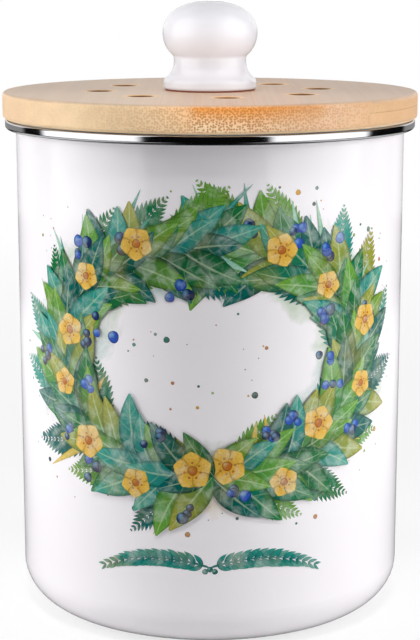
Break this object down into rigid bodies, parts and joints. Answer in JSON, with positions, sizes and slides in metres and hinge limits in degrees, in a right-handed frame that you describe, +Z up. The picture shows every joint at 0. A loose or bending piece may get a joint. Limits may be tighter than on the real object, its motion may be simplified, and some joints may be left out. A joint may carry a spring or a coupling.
{
  "type": "compost caddy",
  "caption": "Countertop compost caddy: enamelled steel pail with a steel rim band, hanging plastic liner, and a vented bamboo lid with seal, charcoal filter and knob.",
  "frame": {"origin": "on the table, under the middle of the base", "axes": "+Z up along the pail's axis, front towards -Y, +X to the right seen from the front"},
  "size_m": [0.1706, 0.1706, 0.2502],
  "materials": {
    "white_enamel": "gloss vitreous enamel on steel",
    "polished_steel": "mirror-polished stainless steel",
    "liner_plastic": "satin moulded polypropylene",
    "bamboo": "sanded and oiled bamboo",
    "silicone": "matt silicone",
    "filter_plastic": "satin moulded polypropylene",
    "zinc_steel": "zinc-plated steel",
    "charcoal_felt": "carbon-loaded felt",
    "white_glaze": "gloss glazed ceramic",
    "brass": "turned",
    "red_fibre": "matt vulcanised fibre"
  },
  "bodies": {
    "pail": {"pail_shell": "white_enamel", "rim_band": "polished_steel"},
    "liner": {"liner_bucket": "liner_plastic"},
    "lid": {"lid_board": "bamboo", "lid_spigot": "bamboo", "lid_seal": "silicone", "filter_housing": "filter_plastic", "housing_screws": "zinc_steel", "knob": "white_glaze", "knob_insert": "brass", "knob_gasket": "red_fibre", "knob_washer": "zinc_steel", "knob_bolt": "zinc_steel"},
    "filter": {"filter_cap": "filter_plastic", "charcoal_filter": "charcoal_felt"}
  },
  "joints": [
    {"name": "liner_lift", "type": "slide", "parent": "pail", "child": "liner", "axis": [0, 0, 1], "range_m": [0, 0.21]},
    {"name": "lid_lift", "type": "slide", "parent": "liner", "child": "lid", "axis": [0, 0, 1], "range_m": [0, 0.15]},
    {"name": "filter_cap_pull", "type": "slide", "parent": "lid", "child": "filter", "axis": [0, 0, -1], "range_m": [0, 0.03]}
  ]
}
